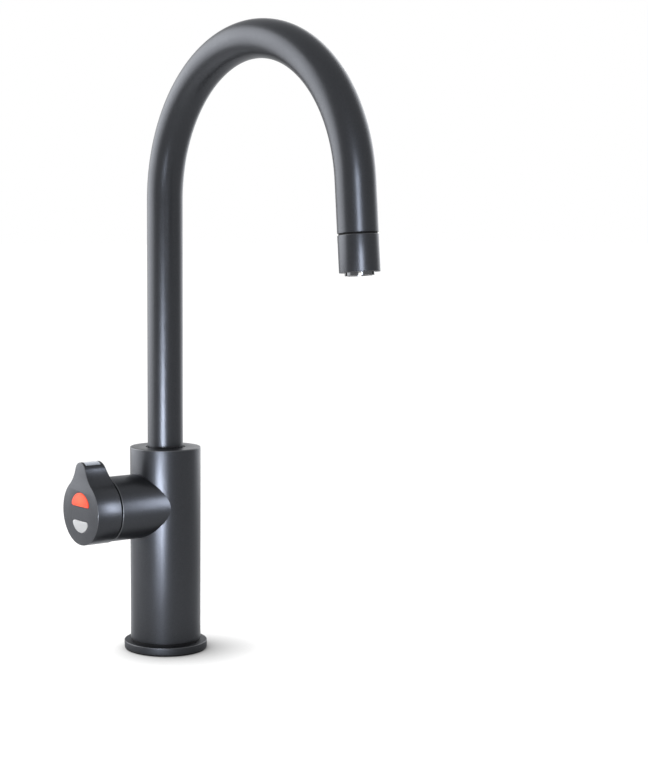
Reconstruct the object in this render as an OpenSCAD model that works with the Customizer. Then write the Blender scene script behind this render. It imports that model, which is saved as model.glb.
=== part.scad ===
// Boiling water tap: a swivelling gooseneck spout on a round body, with a turning side control.
// Millimetres. +Z is up, the spout points along -Y and the side control along -X.
// The origin is on the tap's own axis, at the worktop surface that the base gasket rests on.

/* [Worktop] */
// Thickness of the worktop that the nut clamps
worktop_t = 30; // [10:1:40]

/* [Base] */
// Diameter of the base plate
plate_d = 59; // [56:0.5:70]
// Height of the base plate
plate_h = 5; // [3:0.1:10]
// Chamfer on the top edge of the base plate
plate_edge = 0.4; // [0.2:0.1:1.5]
// Thickness of the gasket under the base plate
gasket_h = 1.1; // [0.6:0.1:3]
// How far the gasket stays inside the base plate's edge
gasket_inset = 0.8; // [0.4:0.1:3]
// Height of the dark seal between base plate and body
seal_h = 1.6; // [0.5:0.1:2.4]

/* [Shank] */
// Outer diameter of the threaded shank, for a 35 mm hole
shank_d = 33; // [32:0.5:34]
// Wall of the threaded shank
shank_wall = 2.5; // [2:0.1:2.6]
// Length of the shank below the worktop's surface
shank_len = 66; // [60:1:110]
// Length of the plain neck that centres the tap in its hole
neck_len = 8; // [5:0.5:9]
// Height of the foot ring that the shank screws into
foot_h = 12; // [8:1:20]

/* [Clamp] */
// Diameter of the rubber and steel washers
washer_d = 52; // [46:1:70]
// Thickness of the rubber washer
rubber_t = 3; // [2:0.5:5]
// Thickness of the steel washer
steel_t = 2; // [1:0.5:3]
// Height of the clamp nut
nut_h = 10; // [6:1:14]
// Width of the clamp nut across its flats
nut_af = 41; // [40:1:46]

/* [Body] */
// Outer diameter of the body
body_d = 50; // [49:0.5:54]
// Wall of the body
body_wall = 2.5; // [2:0.1:3]
// Height of the body's top above the worktop
body_top = 145; // [140:1:200]
// Thickness of the wall that closes the body's top
top_wall = 3.5; // [2:0.1:5]
// Chamfer around the body's top edge
body_edge = 0.7; // [0.3:0.1:1.5]

/* [Spout] */
// Outer diameter of the spout tube
tube_d = 25; // [24:0.5:27]
// Wall of the spout tube
tube_wall = 1.5; // [1:0.1:1.8]
// Height of the bend's centre above the worktop
rise = 318; // [240:1:420]
// Radius of the bend, to the tube's centre line
bend_r = 101; // [70:1:150]
// Angle that the tube bends through
bend_sweep = 175; // [150:1:180]
// Straight length of tube after the bend
drop = 31.5; // [20:0.5:80]
// Farthest that the spout swivels to each side
swivel_max = 90; // [60:5:110]

/* [Nozzle] */
// Length of the nozzle collar
collar_len = 22.6; // [20:0.1:35]
// Width of the dark groove above the collar
groove_w = 1.2; // [0.8:0.1:2]
// How far the seal in the groove lies below the surface
groove_depth = 0.7; // [0.3:0.1:1.2]
// Diameter of the castellated outlet ring
outlet_d = 18.4; // [17:0.1:18.8]
// How far the outlet ring stands below the collar
outlet_proud = 2; // [1:0.1:4]
// Number of notches in the outlet ring
notches = 6; // [3:1:8]
// Width of each notch
notch_w = 1.8; // [1.2:0.1:4]
// Angle from the spout's outer side to the first notch
notch_turn = 41; // [0:1:60]

/* [Waterways] */
// Outer diameter of the boiling water tube
boil_d = 8; // [7:0.5:8.5]
// Outer diameter of the chilled water tube
chill_d = 6.35; // [5:0.05:6.5]
// Wall of both water tubes
way_wall = 1; // [0.7:0.1:1.2]
// Clear space between the two water tubes
way_gap = 3.1; // [3:0.1:3.3]
// Depth of the bore that takes each supply tube
inlet_depth = 12.5; // [10:0.5:18]

/* [Swivel] */
// Bore of the manifold that the spout turns in
socket_d = 21; // [20:0.1:21.6]
// Depth of that bore
socket_depth = 43.5; // [36:0.5:50]
// Height of the manifold's wide flange
flange_h = 22; // [18:0.5:26]
// Diameter of the manifold's slim barrel
barrel_d = 33; // [32:0.5:36]

/* [Arm] */
// Height of the side control's axis
arm_z = 104.5; // [96:0.5:116]
// Outer diameter of the control arm
arm_d = 45; // [44:0.5:47]
// Wall of the arm's outer end, around the bearing plate
arm_wall = 2.5; // [2:0.1:3]
// Distance from the tap's axis to the arm's end
arm_reach = 50.2; // [50:0.2:80]
// Chamfer around the arm's end
arm_edge = 0.7; // [0.3:0.1:1.5]
// Thickness of the bearing plate in the arm's end
bearing_t = 6; // [4:0.5:8]
// Outer diameter of the knob's hollow spindle
spindle_d = 15.84; // [14:0.02:17]

/* [Knob] */
// Diameter of the round part of the knob
knob_d = 46; // [45:0.5:50]
// Gap between arm and knob
knob_gap = 1.2; // [0.8:0.1:2]
// Depth of the knob along its axis
knob_depth = 19.4; // [19:0.1:26]
// Wall of the knob
knob_wall = 2.2; // [1.8:0.1:2.6]
// Height of the lever's tip above the knob's axis
lever_h = 34.5; // [34:0.1:42]
// Radius of the lever's tip
tip_r = 6.6; // [6:0.1:8]
// Radius of the hollow curve between lever and knob
waist_r = 23.7; // [18:0.1:40]
// How much thinner the lever is at its tip than at its root
lever_back = 3.7; // [0:0.1:5]
// Farthest that the knob turns to each side
turn_max = 30; // [15:1:45]

/* [Buttons] */
// Radius of the hot button's domed side
hot_dome = 11.9; // [11:0.1:12.5]
// Height of the hot button
hot_h = 9.4; // [8:0.1:10]
// Radius of the safety button's domed side
safe_dome = 10.8; // [10:0.1:11.5]
// Height of the safety button
safe_h = 8.2; // [7:0.1:9]
// Radius of the buttons' corners
button_corner = 1.9; // [1:0.1:2.5]
// Distance from the knob's axis to the hot button's flat side
hot_base = 4; // [3:0.1:5]
// Distance from the knob's axis to the safety button's flat side
safe_base = 6; // [4:0.1:7]
// How far a button stands out of the knob's face
button_proud = 0.4; // [0:0.1:1]
// How far a button travels
button_travel = 0.6; // [0.3:0.1:0.6]

/* [Tip light] */
// Length of the black strip in the lever's tip
strip_len = 14; // [13.2:0.1:14.2]
// Width of the black strip
strip_w = 10.2; // [9.8:0.1:10.6]
// Length of the pale window in the strip
window_len = 12; // [9:0.1:12.6]
// Width of the pale window
window_w = 9.2; // [6:0.1:9.4]

/* [Return spring] */
// Wire diameter of the knob's return spring
wire_d = 1; // [0.6:0.1:1]
// Mean diameter of the return spring
coil_d = 20.4; // [20:0.1:21]
// Number of turns in the return spring
coil_turns = 2.5; // [2:0.5:3]

/* [Fits] */
// Radial clearance of a part that turns or slides
run_fit = 0.08; // [0.04:0.01:0.1]
// Clearance between parts that are only assembled
slip = 0.2; // [0.1:0.05:0.3]
// Gap between a button and its opening
button_gap = 0.25; // [0.15:0.05:0.4]

/* [Hidden] */
$fn = 96;
over = 1;
lap = 0.5;
hair = 0.01;
seal_sides = 32;
spring_sides = 6;
spring_steps = 24;
lead_sides = 8;
corner_steps = 8;
dome_steps = 28;

// colours
gunmetal = [0.25, 0.255, 0.27];
black_rubber = [0.07, 0.07, 0.07];
black_plastic = [0.12, 0.12, 0.13];
brass_tone = [0.76, 0.60, 0.32];
steel_tone = [0.70, 0.71, 0.73];
chrome_tone = [0.82, 0.83, 0.85];
board_green = [0.06, 0.30, 0.14];
pale_plastic = [0.88, 0.89, 0.90];
hot_red = [0.95, 0.25, 0.12];
silver_grey = [0.78, 0.79, 0.80];

// base and body
plate_r = plate_d / 2;
plate_top = gasket_h + plate_h;
shell_z = plate_top + seal_h;
shank_r = shank_d / 2;
shank_in = shank_r - shank_wall;
neck_step_r = 0.5;
neck_r = shank_r + neck_step_r;
body_r = body_d / 2;
body_in = body_r - body_wall;
seal_inset = 0.7;
end_bevel = 0.8;

// body screw and retaining screw
grub_r = 2;
grub_len = 7;
dog_r = 1.4;
hex_r = 1.15;
hex_depth = 2.5;

// spout
tube_r = tube_d / 2;
tube_in = tube_r - tube_wall;
boil_r = boil_d / 2;
boil_in = boil_r - way_wall;
chill_r = chill_d / 2;
chill_in = chill_r - way_wall;
chill_x = boil_r + chill_r + way_gap;
spigot_r = socket_d / 2 - run_fit;
spigot_in = 6.5;
spigot_lap = 20;
socket_r = socket_d / 2;
barrel_r = barrel_d / 2;

// manifold heights, all from the underside of the body's top
man_top = body_top - top_wall;
socket_floor = man_top - socket_depth;
floor_t = 10;
man_foot = socket_floor - floor_t;
flange_z = man_top - flange_h;
washer_t = 1;
neck_step = 4;
washer_z = man_top - neck_step;
tube_foot = washer_z + washer_t;
spigot_rest = 3;
spigot_foot = socket_floor + spigot_rest;
stop_depth = 12.5;
stop_z = man_top - stop_depth;
stop_groove = 1.8;
stop_half = dog_r + slip;
bush_wall = 1.5;
bush_r = tube_r + bush_wall;
bush_sink = 0.7;
riser_seat = 3;
riser_gap = 1;
floor_way_r = chill_in - slip;
floor_way_x = socket_r - slip - floor_way_r;
clip_t = 1.5;
clip_groove = 1;
clip_angle = 100;
clip_play = 2.5;

// seals of the swivel
seal_r = 0.86;
seal_play = 0.04;
seal_mid = spigot_r - seal_r + seal_play;
seal_groove_r = seal_mid - seal_r - seal_play / 2;
seal_groove_w = 2.4;
seal_steps = [5, 11];
gland_mid = boil_r + run_fit + seal_r;
gland_groove_r = gland_mid + seal_r + seal_play;
gland_depth = 3.2;
gland_z = socket_floor - gland_depth;

// nozzle
collar_z = drop + groove_w;
mouth_z = collar_z + collar_len;
collar_thread = 10.5;
adapter_lap = 12;
adapter_step = 0.8;
adapter_r = tube_in - adapter_step;
adapter_in = 7.5;
adapter_reach = 11;
outlet_r = outlet_d / 2;
outlet_wall = 1.8;
outlet_len = 10;
straight_t = 6;
straight_holes = 12;
straight_hole_r = 1;
hole_sides = 24;
spacer_t = 4;
spacer_wall = 1.4;
spacer_fins = 3;
spacer_fin_w = 1.6;
spacer_count = 2;

// tail of the shank
tail_in_h = 10;
tail_step = 0.3;
tail_r = shank_r - tail_step;
tail_roof = 2;
collet_h = 3.5;
collet_out = 1.5;
collet_gap = 0.35;
collet_wall = 1;
tail_z = -shank_len - inlet_depth - collet_h - tail_roof;
tail_top = -shank_len + tail_in_h;
way_seat = 6;
seat_z = tail_top - way_seat;
bore_top = tail_z + collet_h + inlet_depth;
socket_x = -10;
socket_body_r = 3.6;
socket_lip_r = 4.3;
socket_lip = 1;
socket_pit_r = 2.8;
socket_pit = 8;
pin_r = 0.4;
pin_ring = 1.7;
pin_count = 4;

// arm, measured along its own axis
arm_r = arm_d / 2;
arm_seat = arm_r - arm_wall;
arm_step = 1.5;
arm_in = arm_seat - arm_step;
ledge = 2.2;
bearing_out = arm_reach - ledge;
bearing_in = bearing_out - bearing_t;
spindle_r = spindle_d / 2;
spindle_bore = 3;
clip_side = 0.4;
spindle_clip_t = 1.2;
spindle_clip_lip = 1.1;
spindle_clip_sink = 0.9;
spindle_clip_r = spindle_r + spindle_clip_lip;
spindle_clip_in = spindle_r - spindle_clip_sink;
spring_room = 6;
driver_t = 3;
driver_out = bearing_in - spring_room;
driver_in = driver_out - driver_t;
driver_r = 12;
magnet_t = 1.5;
magnet_s = driver_in - magnet_t;
magnet_r = 8;
chip_gap = 0.4;
chip_t = 1;
chip_size = 3;
chip_ring = 6;
board_t = 1.6;
board_s = magnet_s - chip_gap - chip_t - board_t;
board_rim = 0.5;
board_r = arm_in - board_rim;
carrier_t = 3;
carrier_s = board_s + board_t;
carrier_wall = 3;
board_screw_r = 0.9;
board_screw_head = 1.5;
board_screw_ring = board_r - board_screw_head - slip / 2;

// knob, measured along the same axis
knob_r = knob_d / 2;
knob_back = arm_reach + knob_gap;
knob_face = knob_back + knob_depth;
cavity_r = knob_r - knob_wall;
cavity_face = knob_face - knob_wall;
hub_t = 3;
glide_gap = 0.3;
glide_in = 16;
stop_r = 1.5;
stop_ring = 13;
stop_sink = 5;
knob_screw_ring = 17.5;
knob_screw_r = 1;
knob_screw_head = 1.9;
knob_screw_angles = [60, 120, 240, 300];
boss_r = 3.6;
boss_hole = 6;
tip_c = lever_h - tip_r;
waist_x = (pow(knob_r + waist_r, 2) - pow(tip_r + waist_r, 2) + pow(tip_c, 2)) / (2 * tip_c);
waist_y = sqrt(pow(knob_r + waist_r, 2) - pow(waist_x, 2));
back_sink = 1.5;
back_root = knob_r - back_sink;

// buttons
lip = 0.8;
lip_t = 0.9;
lip_gap = 0.3;
lip_face = cavity_face - lip_gap;
stem_r = 1.7;
stem_len = 1.1;
stem_s = lip_face - lip_t - stem_len;
plunger_r = 1.6;
plunger_len = 2.6;
switch_w = 6;
switch_t = 3;
switch_wall = 0.7;
switch_gap = 0.5;
pcb_t = 1.6;
pcb_face = stem_s - button_travel - switch_gap - switch_t;
pcb_back = pcb_face - pcb_t;
hot_mid = hot_base + hot_h / 2;
safe_mid = -safe_base - safe_h / 2;
post_y = 16.5;
post_r = 2;
post_hole = 0.8;
post_depth = 4;
led_w = 2;
led_t = 1.2;
led_y = 7;
guide_t = 3.2;
guide_w = 4.4;
guide_gap = 0.3;
guide_x = 15;
strip_t = 3.4;
strip_mid = (knob_face + knob_back + lever_back) / 2;
lead_r = 1.3;

// route of the signal lead, from the sensor board down to the tail socket. Its first bend
// is a list of shares of the way in from the board and of drops from its start
signal_r = 2;
signal_low = 10.5;
signal_in = 19;
signal_end = 6;
signal_bend = [[0, 0], [0.25, 0], [0.45, 0], [0.7, 1], [0.9, 3], [1, 6]];
signal_route = concat(
    [
        for (b = signal_bend)
            [-(1 - b[0]) * (board_s - slip) - b[0] * signal_in, 0, arm_z - signal_low - b[1]]
    ],
    [
        [-18, 0, 84], [-17, 0, 79], [-16, 0, 73], [-15, 0, 66], [-14, 0, 59], [-13, 0, 52],
        [-12, 0, 45], [-11, 0, 38], [-10, 0, 31], [-10, 0, 24], [-10, 0, 17], [-10, 0, 8],
        [-10, 0, -4], [-10, 0, -16], [-10, 0, -28], [-10, 0, -40]
    ],
    [[socket_x, 0, tail_top + signal_end], [socket_x, 0, tail_top + slip]]
);

// torsion spring: a tail into the driver, the coil, and a tail into the bearing plate
spring_tail = 2;
spring_clear = 0.35;
spring_low = driver_out + wire_d / 2 + spring_clear;
spring_high = bearing_in - wire_d / 2 - spring_clear;
spring_last = spring_steps * coil_turns;
spring_start = -360 * coil_turns;
spring_points = concat(
    [[coil_d / 2 * cos(spring_start), coil_d / 2 * sin(spring_start), driver_out - spring_tail]],
    [
        for (i = [0:spring_last])
            let (a = 360 * (i - spring_last) / spring_steps)
            [coil_d / 2 * cos(a), coil_d / 2 * sin(a), spring_low + (spring_high - spring_low) * i / spring_last]
    ],
    [[coil_d / 2, 0, bearing_in + spring_tail]]
);
echo(least_spring_gap = (spring_high - spring_low) / coil_turns - wire_d);

// Places ------------------------------------------------------------------

// Local Z runs out along the control arm, local X points up
module along_arm(s = 0) {
    translate([0, 0, arm_z])
    rotate([0, -90, 0])
    translate([0, 0, s])
    children();
}

// Local Z is the bend's own axis, local X points to the riser
module at_bend(angle = 0) {
    translate([0, -bend_r, rise])
    rotate([90, 0, 90])
    rotate([0, 0, angle])
    children();
}

// Local Z follows the water out of the nozzle, from the end of the bend
module at_drop(z = 0) {
    at_bend(bend_sweep)
    translate([bend_r, 0, 0])
    rotate([-90, 0, 0])
    translate([0, 0, z])
    children();
}

// Local Z points inward along +Y's own radius, starting at the body's back
module from_back(z) {
    translate([0, body_r, z])
    rotate([90, 0, 0])
    children();
}

// Shapes ------------------------------------------------------------------

module ring(r_out, r_in, h) {
    difference() {
        cylinder(r = r_out, h = h);
        translate([0, 0, -over])
        cylinder(r = r_in, h = h + 2 * over);
    }
}

// Round seal lying flat around the local Z axis
module seal(mid, r) {
    rotate_extrude()
    translate([mid, 0])
    circle(r = r, $fn = seal_sides);
}

// Rod that follows the whole spout, from z_low to the distance z_end past the bend.
// Its straight end is a hair wider, so that it takes the bend's end inside it.
module spout_rod(r, z_low, z_end) {
    translate([0, 0, z_low])
    cylinder(r = r, h = rise - z_low);
    at_bend()
    rotate_extrude(angle = bend_sweep)
    translate([bend_r, 0])
    circle(r = r);
    at_drop(-lap)
    cylinder(r = r + hair, h = z_end + lap);
}

// Open clip with its mouth around the local +X direction
module open_clip(r_out, r_in, h, mouth) {
    difference() {
        ring(r_out, r_in, h);
        translate([0, 0, -over])
        linear_extrude(h + 2 * over)
        polygon([[0, 0], [2 * r_out, 2 * r_out * tan(mouth / 2)], [2 * r_out, -2 * r_out * tan(mouth / 2)]]);
    }
}

// Set screw along the local Z axis, its hexagon socket at z = 0
module set_screw(r, len) {
    difference() {
        cylinder(r = r, h = len);
        translate([0, 0, -over])
        cylinder(r = hex_r, h = hex_depth + over, $fn = 6);
    }
}

// Pan head screw along the local Z axis, its head at z = 0
module small_screw(head_r, head_h, r, len) {
    cylinder(r = head_r, h = head_h);
    cylinder(r = r, h = len);
}

// The knob's outline, grown by g: a round knob, a round tip and two hollow sides
module teardrop(g = 0) {
    circle(r = knob_r + g);
    translate([tip_c, 0])
    circle(r = tip_r + g);
    difference() {
        polygon([[0, 0], [waist_x, waist_y], [tip_c, 0], [waist_x, -waist_y]]);
        for (side = [-1, 1])
        translate([waist_x, side * waist_y])
        circle(r = waist_r - g);
    }
}

// Points on an arc about [x, y] from angle a to angle b, without the last one
function arc(x, y, r, a, b, steps) = [
    for (i = [0:steps - 1])
        let (t = a + (b - a) * i / steps)
        [x + r * cos(t), y + r * sin(t)]
];

// Button outline with its flat side on the local Y axis, domed towards +X, grown by g
module dome(r, h, g = 0) {
    c = button_corner;
    mid = h - r;
    corner_y = sqrt(pow(r - c, 2) - pow(c - mid, 2));
    turn = atan2(corner_y, c - mid);
    polygon(concat(
        arc(c, -corner_y, c + g, -180, -turn, corner_steps),
        arc(mid, 0, r + g, -turn, turn, dome_steps),
        arc(c, corner_y, c + g, turn, 180, corner_steps),
        [[-g, corner_y]]
    ));
}

module hot_outline(g = 0) {
    translate([hot_base, 0])
    dome(hot_dome, hot_h, g);
}

module safety_outline(g = 0) {
    translate([-safe_base, 0])
    mirror([1, 0])
    dome(safe_dome, safe_h, g);
}

// Slab of the lever's tip: the outline grown by g, between two heights and two sides
module tip_slab(g, low, w, len) {
    intersection() {
        linear_extrude(len)
        teardrop(g);
        translate([low, -w / 2, -over])
        cube([tip_r * 2, w, len + 2 * over]);
    }
}

function unit(v) = v / norm(v);
function square_to(n, t) = unit(n - (n * t) * t);
function tangent(p, i) = unit(p[min(i + 1, len(p) - 1)] - p[max(i - 1, 0)]);
function normal_at(p, first, i) = i == 0
    ? square_to(first, tangent(p, 0))
    : square_to(normal_at(p, first, i - 1), tangent(p, i));

// Round tube of equal sides along the points p
module tube_along(p, r, sides, first) {
    rings = len(p);
    points = [
        for (i = [0:rings - 1])
            let (n = normal_at(p, first, i), b = cross(tangent(p, i), n))
            for (k = [0:sides - 1])
                p[i] + r * (cos(360 * k / sides) * n + sin(360 * k / sides) * b)
    ];
    walls = [
        for (i = [0:rings - 2])
            for (k = [0:sides - 1])
                let (a = i * sides + k, b = i * sides + (k + 1) % sides)
                for (face = [[a, a + sides, b], [b, a + sides, b + sides]])
                    face
    ];
    start_cap = [for (k = [1:sides - 2]) [0, k, k + 1]];
    end = (rings - 1) * sides;
    end_cap = [for (k = [1:sides - 2]) [end, end + k + 1, end + k]];
    polyhedron(points = points, faces = concat(walls, start_cap, end_cap));
}

// Base and clamp ----------------------------------------------------------

module base_gasket() {
    color(black_rubber)
    ring(plate_r - gasket_inset, neck_r + slip, gasket_h);
}

module base_plate() {
    color(gunmetal)
    translate([0, 0, gasket_h])
    rotate_extrude()
    polygon([
        [shank_r + slip, 0],
        [plate_r, 0],
        [plate_r, plate_h - plate_edge],
        [plate_r - plate_edge, plate_h],
        [shank_r + slip, plate_h]
    ]);
}

module body_seal() {
    color(black_rubber)
    translate([0, 0, plate_top])
    ring(body_r - seal_inset, shank_r + slip, seal_h);
}

module mount_shank() {
    color(brass_tone)
    rotate_extrude()
    polygon([
        [shank_in, -shank_len],
        [shank_r - end_bevel, -shank_len],
        [shank_r, -shank_len + end_bevel],
        [shank_r, -neck_len],
        [neck_r, -neck_len],
        [neck_r, 0],
        [shank_r, 0],
        [shank_r, shell_z + foot_h],
        [shank_in, shell_z + foot_h]
    ]);
}

module body_foot() {
    color(brass_tone)
    difference() {
        translate([0, 0, shell_z])
        ring(body_in - slip / 2, shank_r, foot_h);
        from_back(shell_z + foot_h / 2)
        cylinder(r = grub_r, h = grub_len);
    }
}

module body_grub_screw() {
    color(steel_tone)
    from_back(shell_z + foot_h / 2)
    translate([0, 0, body_wall / 2])
    set_screw(grub_r - slip / 4, grub_len - body_wall / 2 - slip);
}

module clamp_rubber_washer() {
    color(black_rubber)
    translate([0, 0, -worktop_t - rubber_t])
    ring(washer_d / 2, shank_r + slip, rubber_t);
}

module clamp_steel_washer() {
    color(steel_tone)
    translate([0, 0, -worktop_t - rubber_t - steel_t])
    ring(washer_d / 2, shank_r + slip, steel_t);
}

module clamp_nut() {
    color(brass_tone)
    translate([0, 0, -worktop_t - rubber_t - steel_t - nut_h])
    difference() {
        cylinder(r = nut_af / sqrt(3), h = nut_h, $fn = 6);
        translate([0, 0, -over])
        cylinder(r = shank_r + run_fit, h = nut_h + 2 * over);
    }
}

// Tail of the shank, with the two water inlets and the signal socket --------

module tail_block() {
    color(black_plastic)
    difference() {
        union() {
            translate([0, 0, -shank_len])
            cylinder(r = shank_in - slip, h = tail_in_h);
            translate([0, 0, tail_z])
            cylinder(r = tail_r, h = -shank_len - tail_z);
        }
        water_way(0, boil_r, boil_in);
        water_way(chill_x, chill_r, chill_in);
        translate([socket_x, 0, tail_z - over])
        cylinder(r = socket_body_r + slip / 4, h = -tail_z);
    }
}

// Passage through the tail block: collet seat, inlet bore, narrow way and riser seat
module water_way(x, r_out, r_in) {
    translate([x, 0, 0]) {
        translate([0, 0, tail_z - over])
        cylinder(r = collet_r(r_out) + slip / 4, h = collet_h + over);
        translate([0, 0, tail_z])
        cylinder(r = r_out + slip / 4, h = bore_top - tail_z);
        translate([0, 0, tail_z])
        cylinder(r = r_in, h = tail_top - tail_z);
        translate([0, 0, seat_z])
        cylinder(r = r_out + slip / 4, h = way_seat + over);
    }
}

function collet_r(r_out) = r_out + collet_gap + collet_wall;

module inlet_collets() {
    color(pale_plastic)
    for (way = [[0, boil_r], [chill_x, chill_r]])
    translate([way[0], 0, tail_z - collet_out])
    ring(collet_r(way[1]), way[1] + collet_gap, collet_h + collet_out - slip);
}

module signal_socket() {
    color(black_plastic)
    translate([socket_x, 0, tail_z - socket_lip]) {
        difference() {
            union() {
                cylinder(r = socket_lip_r, h = socket_lip);
                cylinder(r = socket_body_r, h = tail_top - tail_z + socket_lip);
            }
            translate([0, 0, -over])
            cylinder(r = socket_pit_r, h = socket_pit + over);
        }
        for (k = [0:pin_count - 1])
        rotate([0, 0, 360 * k / pin_count])
        translate([pin_ring, 0, socket_pit / 4])
        cylinder(r = pin_r, h = socket_pit);
    }
}

module signal_lead() {
    color(black_plastic)
    tube_along(signal_route, signal_r, lead_sides, [0, 1, 0]);
}

module boiling_riser() {
    color(steel_tone)
    translate([0, 0, seat_z])
    ring(boil_r, boil_in, man_foot + riser_seat - seat_z);
}

module chilled_riser() {
    color(steel_tone)
    translate([chill_x, 0, seat_z])
    ring(chill_r, chill_in, man_foot + riser_seat - seat_z);
}

// Body --------------------------------------------------------------------

module body_shell() {
    color(gunmetal)
    difference() {
        rotate_extrude()
        polygon([
            [body_in, shell_z],
            [body_r, shell_z],
            [body_r, body_top - body_edge],
            [body_r - body_edge, body_top],
            [bush_r + slip / 2, body_top],
            [bush_r + slip / 2, man_top],
            [body_in, man_top]
        ]);
        along_arm(body_in / 2)
        cylinder(r = arm_in, h = body_r);
        translate([0, 0, flange_z - clip_t - slip / 2])
        cylinder(r = body_in + clip_groove, h = clip_t + slip / 2);
        from_back(shell_z + foot_h / 2)
        translate([0, 0, -over])
        cylinder(r = grub_r, h = body_wall + 2 * over);
        from_back(stop_z)
        translate([0, 0, -over])
        cylinder(r = grub_r, h = body_wall + 2 * over);
    }
}

module swivel_manifold() {
    color(brass_tone)
    difference() {
        union() {
            translate([0, 0, flange_z])
            cylinder(r = body_in - slip / 2, h = flange_h);
            translate([0, 0, man_foot])
            cylinder(r = barrel_r, h = flange_z - man_foot);
        }
        translate([0, 0, washer_z])
        cylinder(r = bush_r + slip, h = neck_step + over);
        translate([0, 0, socket_floor])
        cylinder(r = socket_r, h = socket_depth);
        translate([0, 0, man_foot - over])
        cylinder(r = boil_r + run_fit, h = floor_t + 2 * over);
        translate([0, 0, gland_z - seal_r - slip / 2])
        cylinder(r = gland_groove_r, h = 2 * seal_r + slip);
        translate([chill_x, 0, man_foot - over])
        cylinder(r = chill_r + slip / 4, h = riser_seat + over);
        translate([floor_way_x, 0, man_foot + riser_seat - over])
        cylinder(r = floor_way_r, h = floor_t);
        from_back(stop_z)
        cylinder(r = grub_r, h = body_r);
    }
}

module manifold_clip() {
    color(steel_tone)
    translate([0, 0, flange_z - clip_t])
    rotate([0, 0, 180])
    open_clip(body_in + clip_groove - slip, barrel_r + clip_play, clip_t, clip_angle);
}

module neck_bush() {
    color(black_plastic)
    translate([0, 0, tube_foot])
    ring(bush_r, tube_r + run_fit, body_top - bush_sink - tube_foot);
}

module thrust_washer() {
    color(pale_plastic)
    translate([0, 0, washer_z])
    ring(bush_r, spigot_r + slip, washer_t);
}

module gland_seal() {
    color(black_rubber)
    translate([0, 0, gland_z])
    seal(gland_mid, seal_r);
}

module spout_stop_screw() {
    color(steel_tone)
    from_back(stop_z) {
        translate([0, 0, body_wall / 2])
        set_screw(grub_r - slip / 4, body_r - socket_r - body_wall / 2 - slip);
        translate([0, 0, body_wall / 2 + hex_depth])
        cylinder(r = dog_r, h = body_r - spigot_r + stop_groove - slip - body_wall / 2 - hex_depth);
    }
}

// Spout -------------------------------------------------------------------

module spout_tube() {
    color(gunmetal)
    difference() {
        spout_rod(tube_r, tube_foot, drop);
        spout_rod(tube_in, tube_foot - over, drop + over);
    }
}

module spout_spigot() {
    stop_arc = 2 * (swivel_max + asin(stop_half / (spigot_r - stop_groove)));
    color(brass_tone)
    difference() {
        union() {
            translate([0, 0, spigot_foot])
            cylinder(r = spigot_r, h = tube_foot + over - spigot_foot);
            translate([0, 0, tube_foot])
            cylinder(r = tube_in, h = spigot_lap);
        }
        translate([0, 0, spigot_foot - over])
        cylinder(r = spigot_in, h = body_top + spigot_lap - spigot_foot);
        for (z = seal_steps)
        translate([0, 0, spigot_foot + z - seal_groove_w / 2])
        ring(spigot_r + over, seal_groove_r, seal_groove_w);
        translate([0, 0, stop_z - stop_half])
        rotate([0, 0, 90 - stop_arc / 2])
        rotate_extrude(angle = stop_arc)
        translate([spigot_r - stop_groove, 0])
        square([stop_groove + over, 2 * stop_half]);
    }
}

module spigot_seals() {
    color(black_rubber)
    for (z = seal_steps)
    translate([0, 0, spigot_foot + z])
    seal(seal_mid, seal_r);
}

module spout_boiling_tube() {
    color(steel_tone)
    difference() {
        spout_rod(boil_r, man_foot + riser_seat + riser_gap, mouth_z - over);
        spout_rod(boil_in, man_foot + riser_seat, mouth_z);
    }
}

module spacer() {
    difference() {
        intersection() {
            union() {
                cylinder(r = boil_r + spacer_wall, h = spacer_t, center = true);
                for (k = [0:spacer_fins - 1])
                rotate([0, 0, 360 * k / spacer_fins])
                translate([tube_in / 2, 0, 0])
                cube([tube_in, spacer_fin_w, spacer_t], center = true);
            }
            cylinder(r = tube_in - slip, h = spacer_t, center = true);
        }
        cylinder(r = boil_r + slip / 2, h = spacer_t + over, center = true);
    }
}

module tube_spacers() {
    riser_low = tube_foot + spigot_lap;
    color(pale_plastic)
    for (k = [1:spacer_count]) {
        translate([0, 0, riser_low + k * (rise - riser_low) / (spacer_count + 1)])
        spacer();
        at_bend(k * bend_sweep / (spacer_count + 1))
        translate([bend_r, 0, 0])
        rotate([90, 0, 0])
        spacer();
    }
}

module nozzle_adapter() {
    color(brass_tone)
    at_drop(drop)
    rotate_extrude()
    polygon([
        [adapter_in, -adapter_lap],
        [tube_in, -adapter_lap],
        [tube_in, 0],
        [adapter_r, 0],
        [adapter_r, adapter_reach],
        [adapter_in, adapter_reach]
    ]);
}

module nozzle_seal() {
    color(black_rubber)
    at_drop(drop)
    ring(tube_r - groove_depth, adapter_r, groove_w);
}

module nozzle_collar() {
    edge = 0.4;
    color(gunmetal)
    at_drop(collar_z)
    rotate_extrude()
    polygon([
        [adapter_r, 0],
        [tube_r - edge, 0],
        [tube_r, edge],
        [tube_r, collar_len],
        [outlet_r, collar_len],
        [outlet_r, collar_thread],
        [adapter_r, collar_thread]
    ]);
}

module outlet_ring() {
    color(chrome_tone)
    at_drop(mouth_z + outlet_proud)
    difference() {
        translate([0, 0, -outlet_len])
        ring(outlet_r, outlet_r - outlet_wall, outlet_len);
        for (k = [0:notches - 1])
        rotate([0, 0, notch_turn + 360 * k / notches])
        translate([0, -notch_w / 2, -outlet_proud])
        cube([outlet_r + over, notch_w, outlet_proud + over]);
    }
}

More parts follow.
